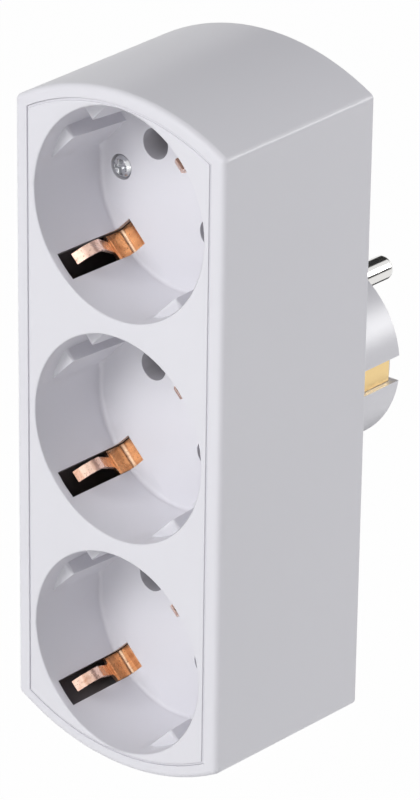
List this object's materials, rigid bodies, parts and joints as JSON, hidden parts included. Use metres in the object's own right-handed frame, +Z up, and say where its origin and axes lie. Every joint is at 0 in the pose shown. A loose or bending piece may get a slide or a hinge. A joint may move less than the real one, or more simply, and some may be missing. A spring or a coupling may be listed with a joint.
{
  "type": "multi socket adapter",
  "caption": "Plug-in socket adapter: tall arched housing with a column of round earthed sockets on its face and a round earthed plug on its back.",
  "frame": {"origin": "on the plug axis, in the plane of the housing's back, where it meets the wall socket", "axes": "+X across the face, +Y from the socket face back towards the wall, +Z up along the column of sockets"},
  "size_m": [0.0486, 0.0768, 0.1328],
  "materials": {
    "housing": "smooth semi-gloss moulded plastic",
    "insert": "smooth semi-gloss moulded plastic",
    "base": "smooth semi-gloss moulded plastic",
    "nose": "smooth semi-gloss moulded plastic",
    "nickel": "nickel-plated turned brass",
    "brass": "rolled brass strip",
    "copper_rail": "rolled copper strip",
    "earth_bronze": "bright rolled bronze spring strip",
    "contact_bronze": "rolled bronze spring strip",
    "screw_steel": "zinc-plated steel"
  },
  "bodies": {
    "root": {"housing_hood": "housing", "socket_insert": "insert", "rear_base": "base", "plug_nose": "nose", "plug_pin_live": "nickel", "plug_pin_neutral": "nickel", "plug_earth_yoke": "brass", "earth_link": "brass", "earth_rail": "brass", "live_rail": "copper_rail", "neutral_rail": "copper_rail", "case_screw": "screw_steel", "earth_bow_upper": "earth_bronze", "live_contact_upper": "contact_bronze", "neutral_contact_upper": "contact_bronze", "earth_bow_middle": "earth_bronze", "live_contact_middle": "contact_bronze", "neutral_contact_middle": "contact_bronze", "earth_bow_lower": "earth_bronze", "live_contact_lower": "contact_bronze", "neutral_contact_lower": "contact_bronze"}
  },
  "joints": []
}
